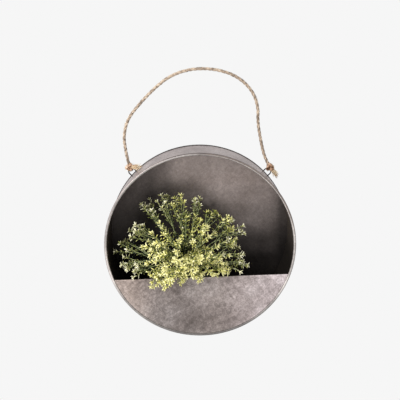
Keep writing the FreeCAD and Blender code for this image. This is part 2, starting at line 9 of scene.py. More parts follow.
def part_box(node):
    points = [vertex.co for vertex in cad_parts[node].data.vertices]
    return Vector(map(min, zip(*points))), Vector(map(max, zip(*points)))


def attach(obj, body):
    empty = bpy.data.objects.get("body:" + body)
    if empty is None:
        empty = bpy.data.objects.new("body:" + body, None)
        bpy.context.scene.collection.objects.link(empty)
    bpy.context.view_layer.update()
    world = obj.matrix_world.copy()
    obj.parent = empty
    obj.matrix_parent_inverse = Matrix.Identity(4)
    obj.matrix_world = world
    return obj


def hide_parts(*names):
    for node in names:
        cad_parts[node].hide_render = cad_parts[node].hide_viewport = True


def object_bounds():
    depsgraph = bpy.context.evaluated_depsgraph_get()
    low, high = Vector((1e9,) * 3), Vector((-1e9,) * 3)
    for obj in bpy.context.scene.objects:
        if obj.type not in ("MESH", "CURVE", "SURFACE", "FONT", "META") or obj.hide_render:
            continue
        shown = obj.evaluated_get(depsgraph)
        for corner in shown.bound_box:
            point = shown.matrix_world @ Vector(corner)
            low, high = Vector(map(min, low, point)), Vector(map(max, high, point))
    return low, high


# A round sheet-metal wall planter with a rope handle and a leafy artificial plant.
# Metres, +Z up, the open front faces -Y, the wall is the plane y = 0.

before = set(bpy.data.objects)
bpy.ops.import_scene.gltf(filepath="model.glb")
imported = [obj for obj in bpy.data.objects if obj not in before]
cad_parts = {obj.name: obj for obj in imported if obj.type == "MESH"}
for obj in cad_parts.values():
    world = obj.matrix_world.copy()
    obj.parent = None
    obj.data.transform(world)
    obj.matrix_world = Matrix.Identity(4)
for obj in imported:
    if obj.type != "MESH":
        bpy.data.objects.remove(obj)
cad_low, cad_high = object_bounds()
MM = 0.001

# ---------------------------------------------------------------- sizes, as in the part's source
BAND_OUTER = 176.0 * MM
SHEET = 0.8 * MM
BAND_INNER = BAND_OUTER - SHEET
DRUM_DEPTH = 100.0 * MM
BEAD_BORE = 1.7 * MM
BEAD_OUTER = BEAD_BORE + SHEET
BEAD_Y = BEAD_OUTER - DRUM_DEPTH
BEAD_RING = BAND_INNER + BEAD_OUTER
CURL_TURN = math.radians(290)
LAP_LENGTH = 14.0 * MM
PLATE_FLANGE = 6.0 * MM
PLATE_PLAY = 0.15 * MM
PLATE_CORNER = 1.2 * MM
LOOP_WIRE = 1.2 * MM
LOOP_SPAN = 13.0 * MM
LOOP_RISE = 12.5 * MM
LOOP_SETBACK = 12.0 * MM
LOOP_FOOT = 5.0 * MM
LOOP_BEND = 2.6 * MM
HOLE_PLAY = 0.25 * MM
LOOP_ANGLES = {"left": math.radians(180 - 45.8), "right": math.radians(41.8)}
ROPE_DIAMETER = 6.0 * MM
KNOT_RISE = 4.0 * MM
KNOT_RADIUS = 8.25 * MM
ROPE_INSIDE_KNOT = 2.0 * MM
TAILS = {"left": Vector((23.5, -13.0, 6.5)) * MM, "right": Vector((14.0, -2.0, -13.5)) * MM}

# The rope's route above the knots, x and z in the plane of the loops, in millimetres. Its last two
# points differ a little from the solid's, to follow the photograph more closely.
ROPE_ROUTE = (
    (-137.0, 170.0), (-139.5, 201.0), (-130.0, 233.0), (-107.5, 259.5), (-80.5, 286.0),
    (-47.0, 312.0), (-6.0, 324.0), (37.0, 322.5), (77.0, 309.5), (107.0, 282.5),
    (119.5, 250.0), (118.0, 217.0), (123.8, 181.0), (129.8, 151.0),
)

# ------------------------------------------- detail of the rope and the knots, beyond the solids

# The rope's strands, and the stray hairs along it.
STRANDS = 3
ROPE_OFFSET = 1.45 * MM
ROPE_STRAND = 1.58 * MM
ROPE_LAY = 27 * MM
ROPE_STEP = 1.2 * MM
ROUTE_RESOLUTION = 24
ROPE_SEED = 11
ROPE_HAIRS = 260
HAIR_STEPS = 4
HAIR_REACH = 3.0 * MM
HAIR_RISE = 0.55 * MM
HAIR_TURN = 0.7
HAIR_ROOT = 0.44
HAIR_RADIUS = 0.07 * MM

# The knots' strands, the short end of rope that leaves each knot, and its frayed fibres.
KNOT_SEEDS = {"left": 5, "right": 9}
KNOT_SIZE = 2.15 * MM
KNOT_STEPS = 96
KNOT_OFFSET = 1.25 * MM
KNOT_STRAND = 1.5 * MM
KNOT_LAY = 12 * MM
STUB_SHARE = 0.62
STUB_STEPS = 14
STUB_OFFSET = 1.2 * MM
STUB_STRAND = 1.25 * MM
STUB_LAY = 13 * MM
TAIL_FIBRES = 150
TAIL_STEPS = 6
TAIL_LENGTHS = (0.62, 1.08)
TAIL_ROOT = 2.9 * MM
TAIL_SPREAD = 2.3 * MM
TAIL_DROOP = 8 * MM
KNOT_HAIRS = 70
KNOT_HAIR_LENGTHS = (1.0, 1.25)
FIBRE_RADIUS = 0.26 * MM
FIBRE_TAPER = 0.6
FIBRE_CLEAR = 0.4 * MM

# ------------------------------------------------------------------------------- the camera
CAMERA_LENS = 70.21
CAMERA_SENSOR = 36.0
CAMERA_DISTANCE = 1.5603
CAMERA_ELEVATION = math.radians(17.278)
CAMERA_AZIMUTH = math.radians(-0.194)
CAMERA_ROLL = math.radians(-1.907)
CAMERA_AIM = Vector((0.0029, 0.0, 0.0652))


def photograph_camera():
    """The camera that was fitted to the photograph's outlines."""
    camera = bpy.data.objects.new("photo_camera", bpy.data.cameras.new("photo_camera"))
    bpy.context.scene.collection.objects.link(camera)
    camera.data.lens = CAMERA_LENS
    camera.data.sensor_width = CAMERA_SENSOR
    camera.location = Vector((
        math.sin(CAMERA_AZIMUTH) * math.cos(CAMERA_ELEVATION),
        -math.cos(CAMERA_AZIMUTH) * math.cos(CAMERA_ELEVATION),
        math.sin(CAMERA_ELEVATION),
    )) * CAMERA_DISTANCE
    looking = (CAMERA_AIM - camera.location).to_track_quat("-Z", "Y")
    camera.rotation_mode = "QUATERNION"
    camera.rotation_quaternion = looking @ Matrix.Rotation(CAMERA_ROLL, 3, "Z").to_quaternion()
    bpy.context.scene.camera = camera


# ------------------------------------------------------------------------- places of the pieces

def around_rim(side, radius, y):
    """The point at a loop's angle round the drum."""
    angle = LOOP_ANGLES[side]
    return Vector((math.cos(angle) * radius, y, math.sin(angle) * radius))


def knot_middle(side):
    return around_rim(side, BAND_OUTER + LOOP_RISE, -LOOP_SETBACK) + Vector((0, 0, KNOT_RISE))


def rope_points():
    """The rope's own points, from inside the left knot to inside the right one."""
    route = [Vector((x * MM, -LOOP_SETBACK, z * MM)) for x, z in ROPE_ROUTE]
    ends = []
    for side, nearest in (("left", route[0]), ("right", route[-1])):
        away = (nearest - knot_middle(side)).normalized()
        ends.append(knot_middle(side) + away * (KNOT_RADIUS - ROPE_INSIDE_KNOT))
    return [ends[0], *route, ends[1]]


# ---------------------------------------------------------------------------- mesh helpers

def finish_piece(name, bm, *materials, smooth=True, sharp=None):
    """Turn a finished bmesh into an object at the origin."""
    mesh = bpy.data.meshes.new(name)
    if smooth:
        for face in bm.faces:
            face.smooth = True
    if sharp:
        for edge in bm.edges:
            if len(edge.link_faces) == 2 and edge.calc_face_angle(0) > sharp:
                edge.smooth = False
    bm.to_mesh(mesh)
    bm.free()
    for material in materials:
        mesh.materials.append(material)
    piece = bpy.data.objects.new(name, mesh)
    bpy.context.scene.collection.objects.link(piece)
    return piece


def arc(middle_y, middle_r, radius, start, end, steps):
    """Points of an arc in the section of the drum, as pairs of y and distance from its axis."""
    turn = [start + (end - start) * step / steps for step in range(steps + 1)]
    return [(middle_y + radius * math.cos(a), middle_r + radius * math.sin(a)) for a in turn]


def spin_section(bm, section, steps, turn=2 * math.pi, start=0.0, closed=True):
    """Spin a section, given as y and distance from the axis, round the drum's axis."""
    direction = Vector((math.sin(start), 0, math.cos(start)))
    verts = [bm.verts.new((direction.x * r, y, direction.z * r)) for y, r in section]
    edges = [bm.edges.new(pair) for pair in zip(verts, verts[1:])]
    if closed:
        edges.append(bm.edges.new((verts[-1], verts[0])))
    full = abs(turn) >= 2 * math.pi - 1e-6
    caps = []
    if closed and not full:
        caps = [bm.faces.new(verts)]
    spun = bmesh.ops.spin(bm, geom=[*verts, *edges], cent=(0, 0, 0), axis=(0, 1, 0), angle=turn,
                          steps=steps, use_merge=full)
    if caps:
        last = [item for item in spun["geom_last"] if isinstance(item, bmesh.types.BMEdge)]
        bmesh.ops.contextual_create(bm, geom=last)
    return spun


def close_up(bm, distance=0.01 * MM):
    bmesh.ops.remove_doubles(bm, verts=bm.verts[:], dist=distance)
    bmesh.ops.recalc_face_normals(bm, faces=bm.faces[:])


def mesh_of(curve):
    """The mesh that a curve makes, by way of a passing object."""
    holder = bpy.data.objects.new(curve.name, curve)
    bpy.context.scene.collection.objects.link(holder)
    bpy.context.view_layer.update()
    evaluated = holder.evaluated_get(bpy.context.evaluated_depsgraph_get())
    mesh = bpy.data.meshes.new_from_object(evaluated)
    bpy.data.objects.remove(holder)
    return mesh


def curve_mesh(name, lines, thickness, resolution, taper=None):
    """A mesh of round tubes along lines of points, through a curve with a bevel."""
    curve = bpy.data.curves.new(name, "CURVE")
    curve.dimensions = "3D"
    curve.bevel_depth = thickness
    curve.bevel_resolution = resolution
    curve.use_fill_caps = True
    for line in lines:
        spline = curve.splines.new("POLY")
        spline.points.add(len(line) - 1)
        for index, (point, place) in enumerate(zip(spline.points, line)):
            point.co = (*place, 1)
            point.radius = taper(index / (len(line) - 1)) if taper else 1.0
    return mesh_of(curve)


def scattered(rng, spread=1.0):
    """A vector of three random parts."""
    return Vector((rng.gauss(0, spread), rng.gauss(0, spread), rng.gauss(0, spread)))


# ------------------------------------------------------------------------------- materials

METAL = 0.75

# How fine the parts of each pattern are, as the scale of its noise.
SHEET_CLOUDS = 15.0
SHEET_WEAR = 60.0
SHEET_STREAKS = 190.0
SHEET_SPECKLE = 600.0
PLAIN_MARKS = 120.0
WIRE_GRIME = 300.0
LEAF_MOTTLE = 350.0
FOAM_PORES = 500.0

# Masks of painted light and shade, along an axis or away from a point, reach this many millimetres either
# way.
MASK_REACH = 180.0


class Finish:
    """A material's nodes, made one after another."""

    def __init__(self, name):
        self.material = bpy.data.materials.new(name)
        self.material.use_nodes = True
        self.nodes = self.material.node_tree.nodes
        self.links = self.material.node_tree.links
        self.shader = self.nodes["Principled BSDF"]

    def node(self, kind, **settings):
        made = self.nodes.new(kind)
        for key, setting in settings.items():
            setattr(made, key, setting)
        return made

    def object_space(self, scale=(1, 1, 1), turn=(0, 0, 0)):
        place = self.node("ShaderNodeTexCoord")
        mapping = self.node("ShaderNodeMapping", vector_type="TEXTURE")
        mapping.inputs["Scale"].default_value = scale
        mapping.inputs["Rotation"].default_value = turn
        self.links.new(place.outputs["Object"], mapping.inputs["Vector"])
        return mapping.outputs["Vector"]

    def noise(self, vector, scale, detail=3.0, roughness=0.55, distortion=0.0):
        texture = self.node("ShaderNodeTexNoise")
        texture.inputs["Scale"].default_value = scale
        texture.inputs["Detail"].default_value = detail
        texture.inputs["Roughness"].default_value = roughness
        texture.inputs["Distortion"].default_value = distortion
        self.links.new(vector, texture.inputs["Vector"])
        return texture.outputs["Fac"]

    def ramp(self, factor, *stops):
        ramp = self.node("ShaderNodeValToRGB")
        elements = ramp.color_ramp.elements
        while len(elements) < len(stops):
            elements.new(0.5)
        for element, (place, colour) in zip(elements, stops):
            element.position = place
            element.color = (*colour, 1)
        self.links.new(factor, ramp.inputs["Fac"])
        return ramp.outputs["Color"]

    def blend(self, factor, first, second, kind="MIX"):
        mix = self.node("ShaderNodeMix", data_type="RGBA", blend_type=kind)
        for socket, source in ((0, factor), (6, first), (7, second)):
            if isinstance(source, bpy.types.NodeSocket):
                self.links.new(source, mix.inputs[socket])
            elif socket == 0:
                mix.inputs[0].default_value = source
            else:
                mix.inputs[socket].default_value = (*source, 1)
        return mix.outputs[2]

    def bump(self, height, strength, distance):
        bump = self.node("ShaderNodeBump")
        bump.inputs["Strength"].default_value = strength
        bump.inputs["Distance"].default_value = distance
        self.links.new(height, bump.inputs["Height"])
        self.links.new(bump.outputs["Normal"], self.shader.inputs["Normal"])

    def colour(self, source):
        if isinstance(source, bpy.types.NodeSocket):
            self.links.new(source, self.shader.inputs["Base Color"])
        else:
            self.shader.inputs["Base Color"].default_value = (*source, 1)

    def surface(self, **values):
        for name, number in values.items():
            self.shader.inputs[name.replace("_", " ").title()].default_value = number


def srgb(code):
    """A colour written as in a picture, as the renderer's linear values."""
    parts = [int(code[i:i + 2], 16) / 255 for i in (0, 2, 4)]
    return tuple(c / 12.92 if c <= 0.04045 else ((c + 0.055) / 1.055) ** 2.4 for c in parts)


def zinc_finish(name, dark, middle, light, contrast=1.0, dullness=0.38):
    """Dull galvanised sheet: cloudy patches, short crossing streaks and fine speckle."""
    zinc = Finish(name)
    space = zinc.object_space()
    clouds = zinc.noise(space, SHEET_CLOUDS, 4.0, 0.58)
    colour = zinc.ramp(clouds, (0.32, srgb(dark)), (0.50, srgb(middle)), (0.68, srgb(light)))
    for turn, stretch in ((0.9, 1.9), (-0.6, 1.6)):
        slanted = zinc.object_space((1.0, 1.0, stretch), (0, turn, 0))
        streaks = zinc.noise(slanted, SHEET_STREAKS, 3.0, 0.6, 0.8)
        streaky = zinc.ramp(streaks, (0.36, (0.66, 0.65, 0.64)), (0.64, (1.24, 1.24, 1.24)))
        colour = zinc.blend(0.62 * contrast, colour, streaky, "MULTIPLY")
    speckle = zinc.noise(space, SHEET_SPECKLE, 2.0, 0.7)
    fleck = zinc.ramp(speckle, (0.38, (0.76, 0.75, 0.74)), (0.62, (1.18, 1.18, 1.18)))
    colour = zinc.blend(0.7 * contrast, colour, fleck, "MULTIPLY")
    zinc.colour(colour)
    wear = zinc.noise(space, SHEET_WEAR, 4.0, 0.6)
    rough = zinc.ramp(wear, (0.3, (dullness,) * 3), (0.7, (dullness + 0.16,) * 3))
    zinc.links.new(rough, zinc.shader.inputs["Roughness"])
    zinc.surface(metallic=METAL)
    zinc.bump(streaks, 0.12, 0.0004)
    return zinc


def paint_light_and_shade(zinc, masks):
    """Paint light and shade into a finish: multiply its colour by ramps along an axis, along its facing or
    away from a point, in mm.
    """
    colour = zinc.shader.inputs["Base Color"].links[0].from_socket
    for kind, where_from, stops in masks:
        place = zinc.node("ShaderNodeTexCoord")
        if kind == "From":
            away = zinc.node("ShaderNodeVectorMath", operation="DISTANCE")
            zinc.links.new(place.outputs["Object"], away.inputs[0])
            away.inputs[1].default_value = Vector(where_from) * MM
            reading = away.outputs["Value"]
        else:
            split = zinc.node("ShaderNodeSeparateXYZ")
            zinc.links.new(place.outputs[kind], split.inputs[0])
            reading = split.outputs[where_from]
        if kind != "Normal":
            metres = zinc.node("ShaderNodeMapRange")
            metres.inputs["From Min"].default_value = -MASK_REACH * MM
            metres.inputs["From Max"].default_value = MASK_REACH * MM
            zinc.links.new(reading, metres.inputs["Value"])
            reading = metres.outputs["Result"]
            stops = [(where / (2 * MASK_REACH) + 0.5, shade) for where, shade in stops]
        stops = [(where, shade if isinstance(shade, tuple) else (shade,) * 3) for where, shade in stops]
        ramp = zinc.ramp(reading, *stops)
        ramp.node.color_ramp.interpolation = "EASE"
        colour = zinc.blend(1.0, colour, ramp, "MULTIPLY")
    zinc.colour(colour)
    return zinc.material


def plain_metal(name, code, roughness):
    """Metal of one colour with faint marks."""
    metal = Finish(name)
    marks = metal.noise(metal.object_space(), PLAIN_MARKS, 4.0, 0.6)
    shade = metal.ramp(marks, (0.35, (0.7, 0.7, 0.7)), (0.65, (1.15, 1.15, 1.15)))
    metal.colour(metal.blend(0.7, srgb(code), shade, "MULTIPLY"))
    metal.surface(metallic=METAL, roughness=roughness)
    return metal


def wire_finish():
    """Dark steel wire with grime in it."""
    wire = Finish("dark_wire")
    space = wire.object_space()
    grime = wire.noise(space, WIRE_GRIME, 3.0)
    wire.colour(wire.ramp(grime, (0.35, srgb("1b1817")), (0.65, srgb("4a443f"))))
    wire.surface(metallic=0.8, roughness=0.42)
    wire.bump(grime, 0.2, 0.0002)
    return wire.material


def jute_finish(name, dark, middle, light, patch, threading=0.8):
    """Twisted fibre: fine threads along each strand, and patches darker and paler."""
    jute = Finish(name)
    uv = jute.node("ShaderNodeUVMap", uv_map="UVMap")
    mapping = jute.node("ShaderNodeMapping")
    mapping.inputs["Scale"].default_value = (3.0, 260.0, 1.0)
    jute.links.new(uv.outputs["UV"], mapping.inputs["Vector"])
    threads = jute.noise(mapping.outputs["Vector"], 3.0, 3.0, 0.6)
    patches = jute.noise(jute.object_space(), patch, 3.0)
    colour = jute.ramp(patches, (0.36, srgb(dark)), (0.5, srgb(middle)), (0.64, srgb(light)))
    lines = jute.ramp(threads, (0.35, (0.62, 0.60, 0.58)), (0.62, (1.12, 1.12, 1.12)))
    jute.colour(jute.blend(threading, colour, lines, "MULTIPLY"))
    jute.surface(roughness=0.85)
    jute.bump(threads, 0.6, 0.0005)
    return jute.material


def leaf_finish(name, *stops):
    """Moulded leaf: its tone is its mesh's, which is paler towards the leaf's tip and holds painted shade
    and light, with faint mottling.
    """
    leaf = Finish(name)
    tone = leaf.node("ShaderNodeAttribute", attribute_name="tone")
    colour = leaf.ramp(tone.outputs["Fac"], *[(place, srgb(code)) for place, code in stops])
    mottle = leaf.noise(leaf.object_space(), LEAF_MOTTLE, 2.0)
    shade = leaf.ramp(mottle, (0.35, (0.82, 0.84, 0.80)), (0.65, (1.08, 1.06, 1.02)))
    leaf.colour(leaf.blend(0.7, colour, shade, "MULTIPLY"))
    leaf.surface(roughness=0.42)
    leaf.bump(mottle, 0.2, 0.0003)
    return leaf.material


def foam_finish():
    """Dark dry foam with open pores."""
    foam = Finish("dry_foam")
    space = foam.object_space()
    pores = foam.noise(space, FOAM_PORES, 3.0, 0.7)
    foam.colour(foam.ramp(pores, (0.35, srgb("15170f")), (0.65, srgb("34382a"))))
    foam.surface(roughness=0.95)
    foam.bump(pores, 0.8, 0.001)
    return foam.material


# ---------------------------------------------------------------------------------- the drum

RIM_STEPS = 180
LAP_STEPS = 6
LAP_SUNK = 0.1 * MM
CURL_STEPS = (22, 14)
SHARP_SHEET = math.radians(40)
SHARP_WIRE = math.radians(50)

# Which of its materials each part of the band has: the inside's starts just behind the bead, and the bead's
# own are set by degrees round its section, where 180 faces the front and more turns inwards. The inside and
# the bead's flank carry painted shade, the crest a painted highlight, and the groove the crest's painted
# highlight with painted shade along the upper right.
INSIDE, FLANK, CREST, GROOVE = 1, 2, 3, 4
INSIDE_DEPTH = 0.3 * MM
INSIDE_FROM = 1.5 * MM
GROOVE_FROM, CREST_FROM, CREST_TO = 150, 190, 230


def rim_band(finish, inside, flank, crest, groove):
    """The rolled wall of the drum, its bead curled outwards along the front, and its lap."""
    bm = bmesh.new()
    full = 3 * math.pi / 2
    section = [(-SHEET, BAND_INNER)]
    section += arc(BEAD_Y, BEAD_RING, BEAD_OUTER, full, full - CURL_TURN, CURL_STEPS[0])
    section += arc(BEAD_Y, BEAD_RING, BEAD_BORE, full - CURL_TURN, full, CURL_STEPS[1])
    section += [(-SHEET, BAND_OUTER)]
    spin_section(bm, section, RIM_STEPS)
    half = LAP_LENGTH / BAND_OUTER / 2
    lap_front = BEAD_Y + 2 * BEAD_OUTER
    lap_back = -PLATE_FLANGE - 1.0 * MM
    lap = [
        (lap_front, BAND_OUTER - LAP_SUNK),
        (lap_front, BAND_OUTER + SHEET),
        (lap_back, BAND_OUTER + SHEET),
        (lap_back, BAND_OUTER - LAP_SUNK),
    ]
    spin_section(bm, lap, LAP_STEPS, 2 * half, math.pi - half)
    close_up(bm)
    for face in bm.faces:
        middle = face.calc_center_median()
        distance = math.hypot(middle.x, middle.z)
        if distance < BAND_INNER + INSIDE_DEPTH and middle.y > BEAD_Y + INSIDE_FROM:
            face.material_index = INSIDE
        elif middle.y < BEAD_Y + BEAD_OUTER and distance > BAND_INNER:
            turn = math.degrees(math.atan2(distance - BEAD_RING, middle.y - BEAD_Y)) % 360
            if CREST_FROM < turn < CREST_TO:
                face.material_index = CREST
            elif GROOVE_FROM < turn < CREST_FROM:
                face.material_index = GROOVE
            else:
                face.material_index = FLANK
    band = finish_piece("band", bm, finish, inside, flank, crest, groove, sharp=SHARP_SHEET)
    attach(band, "drum")
    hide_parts("rim_band")


PLATE_RING = 40 * MM
EDGE, REAR = 1, 2


def back_plate(finish, edge, rear):
    """The back disc with its edge turned forwards over the band; its rear lies on the wall."""
    bm = bmesh.new()
    inner = BAND_OUTER + PLATE_PLAY
    outer = inner + SHEET
    section = [(0, 0), (0, outer - PLATE_RING), (0, outer - PLATE_CORNER)]
    section += arc(-PLATE_CORNER, outer - PLATE_CORNER, PLATE_CORNER, 0.2, math.pi / 2, 4)
    section += [(-PLATE_FLANGE, outer), (-PLATE_FLANGE, inner)]
    section += [(-PLATE_CORNER, inner), (-SHEET, inner - PLATE_CORNER + SHEET)]
    section += [(-SHEET, outer - PLATE_RING), (-SHEET, 0)]
    spin_section(bm, section, RIM_STEPS, closed=False)
    close_up(bm)
    for face in bm.faces:
        middle = face.calc_center_median()
        if math.hypot(middle.x, middle.z) > BAND_OUTER:
            face.material_index = EDGE
        elif middle.y > -SHEET / 2:
            face.material_index = REAR
    plate = finish_piece("back", bm, finish, edge, rear, sharp=SHARP_SHEET)
    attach(plate, "drum")
    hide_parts("back_plate")


# ----------------------------------------------------------------------------- loops and rope

WIRE_SIDES = 14
BEND_STEP = 0.2


def bend_wire(bm, moves, start, along, across):
    """A round wire: a circle pushed along straight runs and spun round bends."""
    turn = along.to_track_quat("Z", "Y").to_matrix().to_4x4()
    ring = bmesh.ops.create_circle(bm, radius=LOOP_WIRE, segments=WIRE_SIDES, cap_ends=False,
                                   matrix=Matrix.Translation(start) @ turn)["verts"]
    edges = list({edge for vert in ring for edge in vert.link_edges})
    bmesh.ops.contextual_create(bm, geom=edges)
    place = start.copy()
    for kind, amount, radius in moves:
        if kind == "run":
            grown = bmesh.ops.extrude_edge_only(bm, edges=edges)["geom"]
            verts = [item for item in grown if isinstance(item, bmesh.types.BMVert)]
            bmesh.ops.translate(bm, verts=verts, vec=along * amount)
            edges = [item for item in grown if isinstance(item, bmesh.types.BMEdge)
                     and item.verts[0] in verts and item.verts[1] in verts]
            place += along * amount
        else:
            outwards = across.cross(along).normalized() * (1 if amount > 0 else -1)
            centre = place + outwards * radius
            steps = max(4, round(abs(amount) / BEND_STEP))
            spun = bmesh.ops.spin(bm, geom=edges, cent=centre, axis=across, angle=amount, steps=steps)
            edges = [item for item in spun["geom_last"] if isinstance(item, bmesh.types.BMEdge)]
            rotation = Matrix.Rotation(amount, 3, across)
            place = centre + rotation @ (place - centre)
            along = rotation @ along
    bmesh.ops.contextual_create(bm, geom=edges)


def wire_loop(side, finish):
    """A staple through the band: foot, leg, round crown, leg, foot."""
    up = around_rim(side, 1.0, 0.0).normalized()
    towards = Vector((0, 1, 0))
    sideways = towards.cross(up).normalized()
    half = LOOP_SPAN / 2
    toe = half + LOOP_BEND + LOOP_FOOT
    foot = math.sqrt(BAND_INNER ** 2 - toe ** 2) - LOOP_WIRE - HOLE_PLAY
    leg = BAND_OUTER + LOOP_RISE - half - foot - LOOP_BEND
    start = around_rim(side, foot, -LOOP_SETBACK) - sideways * toe
    quarter = math.pi / 2
    bm = bmesh.new()
    bend_wire(bm, (
        ("run", LOOP_FOOT, 0),
        ("bend", -quarter, LOOP_BEND),
        ("run", leg, 0),
        ("bend", 2 * quarter, half),
        ("run", leg, 0),
        ("bend", -quarter, LOOP_BEND),
        ("run", LOOP_FOOT, 0),
    ), start, sideways, towards)
    close_up(bm, 0.001 * MM)
    loop = finish_piece("wire_loop_%s" % side, bm, finish, sharp=SHARP_WIRE)
    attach(loop, "drum")
    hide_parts("loop_%s" % side)


def smooth_line(name, points):
    """Points along one smooth open spline whose control points are the given ones."""
    curve = bpy.data.curves.new(name, "CURVE")
    curve.dimensions = "3D"
    spline = curve.splines.new("NURBS")
    spline.points.add(len(points) - 1)
    for point, place in zip(spline.points, points):
        point.co = (*place, 1)
    spline.order_u = 3
    spline.use_endpoint_u = True
    spline.resolution_u = ROUTE_RESOLUTION
    return [vert.co.copy() for vert in mesh_of(curve).vertices]


def run_length(line):
    return sum((there - here).length for here, there in zip(line, line[1:]))


def even_steps(line, step):
    """The same line, with its points a given step apart."""
    places = [line[0]]
    left = step
    for here, there in zip(line, line[1:]):
        run = (there - here).length
        gone = 0.0
        while run - gone >= left:
            gone += left
            places.append(here.lerp(there, gone / run))
            left = step
        left -= run - gone
    if (places[-1] - line[-1]).length > step * 0.3:
        places.append(line[-1])
    return places


def twisted(line, offset, lay):
    """Lines of strands that wind round a line, once for each length of lay."""
    strands = [[] for _ in range(STRANDS)]
    gone = 0.0
    normal = Vector((0, 1, 0))
    for index, place in enumerate(line):
        ahead = line[min(index + 1, len(line) - 1)]
        behind = line[max(index - 1, 0)]
        along = (ahead - behind).normalized()
        normal = (normal - along * normal.dot(along)).normalized()
        side = along.cross(normal)
        for strand in range(STRANDS):
            angle = 2 * math.pi * (gone / lay + strand / STRANDS)
            strands[strand].append(place + (normal * math.cos(angle) + side * math.sin(angle)) * offset)
        gone += (ahead - place).length
    return strands


def loose_hairs(line, rng):
    """Short hairs that leave the rope's surface and lie back along it."""
    hairs = []
    for _ in range(ROPE_HAIRS):
        start = rng.randrange(3, len(line) - 8)
        along = (line[start + 1] - line[start]).normalized()
        around = scattered(rng)
        around = (around - along * around.dot(along)).normalized()
        hair = []
        for step in range(HAIR_STEPS + 1):
            rise = HAIR_RISE * math.sin(step / HAIR_STEPS * math.pi * HAIR_TURN)
            place = line[start + step] + around * (ROPE_DIAMETER * HAIR_ROOT + rise)
            hair.append(place + along * (HAIR_REACH * step / HAIR_STEPS))
        hairs.append(hair)
    return hairs


def rope(finish):
    """The jute handle: three strands laid round the route, with loose hairs."""
    rng = random.Random(ROPE_SEED)
    line = even_steps(smooth_line("rope_route", rope_points()), ROPE_STEP)
    bm = bmesh.new()
    bm.from_mesh(curve_mesh("strands", twisted(line, ROPE_OFFSET, ROPE_LAY), ROPE_STRAND, resolution=4))
    bm.from_mesh(curve_mesh("hairs", loose_hairs(line, rng), HAIR_RADIUS, resolution=0))
    handle = finish_piece("rope_handle", bm, finish)
    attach(handle, "handle")
    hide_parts("rope")


def knot_line(side):
    """The line of a single overhand knot drawn into a lump."""
    up = around_rim(side, 1.0, 0.0).normalized()
    back = Vector((0, 1, 0))
    across = back.cross(up).normalized()
    line = []
    for step in range(KNOT_STEPS + 1):
        t = 2 * math.pi * step / KNOT_STEPS
        x = math.sin(t) + 2 * math.sin(2 * t)
        z = math.cos(t) - 2 * math.cos(2 * t)
        y = -1.6 * math.sin(3 * t)
        place = knot_middle(side) + across * (x * KNOT_SIZE) + up * (z * KNOT_SIZE)
        line.append(place + back * (y * KNOT_SIZE))
    return line


def above_band(place):
    """Move a point that lies in the drum's wall out onto its surface."""
    distance = math.hypot(place.x, place.z)
    clear = max(distance, BAND_OUTER + PLATE_PLAY + SHEET + FIBRE_CLEAR)
    return Vector((place.x * clear / distance, place.y, place.z * clear / distance))


def frayed_tail(side, rng):
    """Lines of fibres that leave the knot together, spread at their ends and droop onto the band."""
    start = knot_middle(side)
    reach = TAILS[side]
    along = reach.normalized()
    side_way = along.cross(Vector((0, 1, 0.3))).normalized()
    other_way = along.cross(side_way)
    fibres = []
    for _ in range(TAIL_FIBRES):
        angle = rng.uniform(0, 2 * math.pi)
        spread = math.sqrt(rng.uniform(0, 1))
        length = reach.length * rng.uniform(*TAIL_LENGTHS)
        curl = rng.uniform(-1, 1)
        droop = rng.uniform(0, TAIL_DROOP)
        fibre = []
        for step in range(TAIL_STEPS + 1):
            share = step / TAIL_STEPS
            wide = (TAIL_ROOT + TAIL_SPREAD * share ** 1.8) * spread
            lean = angle + curl * share * 1.2
            place = start + along * (length * share) - Vector((0, 0, droop * share ** 2))
            place += (side_way * math.cos(lean) + other_way * math.sin(lean)) * wide
            fibre.append(above_band(place))
        fibres.append(fibre)
    return fibres


def knot_hairs(side, rng):
    """Short stray hairs that stand off the knot all round."""
    middle = knot_middle(side)
    hairs = []
    for _ in range(KNOT_HAIRS):
        out = scattered(rng).normalized()
        bend = scattered(rng) * MM
        reach = KNOT_RADIUS * rng.uniform(*KNOT_HAIR_LENGTHS)
        hairs.append([above_band(middle + out * (reach * share) + bend * share ** 2)
                      for share in (0.6, 0.8, 1.0)])
    return hairs


def knot(side, rope_finish, tail_finish):
    """A knot of rope, the short end that leaves it, and their loose fibres."""
    rng = random.Random(KNOT_SEEDS[side])
    bm = bmesh.new()
    strands = twisted(knot_line(side), KNOT_OFFSET, KNOT_LAY)
    bm.from_mesh(curve_mesh("knot_strands", strands, KNOT_STRAND, resolution=3))
    shares = [step / STUB_STEPS * STUB_SHARE for step in range(STUB_STEPS + 1)]
    stub = [knot_middle(side) + TAILS[side] * share for share in shares]
    bm.from_mesh(curve_mesh("stub_strands", twisted(stub, STUB_OFFSET, STUB_LAY), STUB_STRAND, resolution=3))
    rope_faces = len(bm.faces)
    loose = frayed_tail(side, rng) + knot_hairs(side, rng)
    bm.from_mesh(curve_mesh("fibres", loose, FIBRE_RADIUS, resolution=0,
                            taper=lambda share: 1.0 - FIBRE_TAPER * share))
    bm.faces.ensure_lookup_table()
    for face in bm.faces[rope_faces:]:
        face.material_index = 1
    piece = finish_piece("tied_knot_%s" % side, bm, rope_finish, tail_finish)
    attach(piece, "drum")
    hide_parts("knot_%s" % side)


# ---------------------------------------------------------------------------------- the plant

# A leaf's shape, as shares of its length and width: how wide it is from stalk to tip, how far its
# middle reaches past its end, how it is cupped and bowed, and how thick it is.
LEAF_WIDTHS = {-0.5: 0.14, -0.25: 0.46, 0.0: 0.82, 0.25: 1.0, 0.5: 0.42}
LEAF_POINT = 0.08
LEAF_CUP = 0.24
LEAF_BOW = 0.16
LEAF_THICKNESS = 0.035

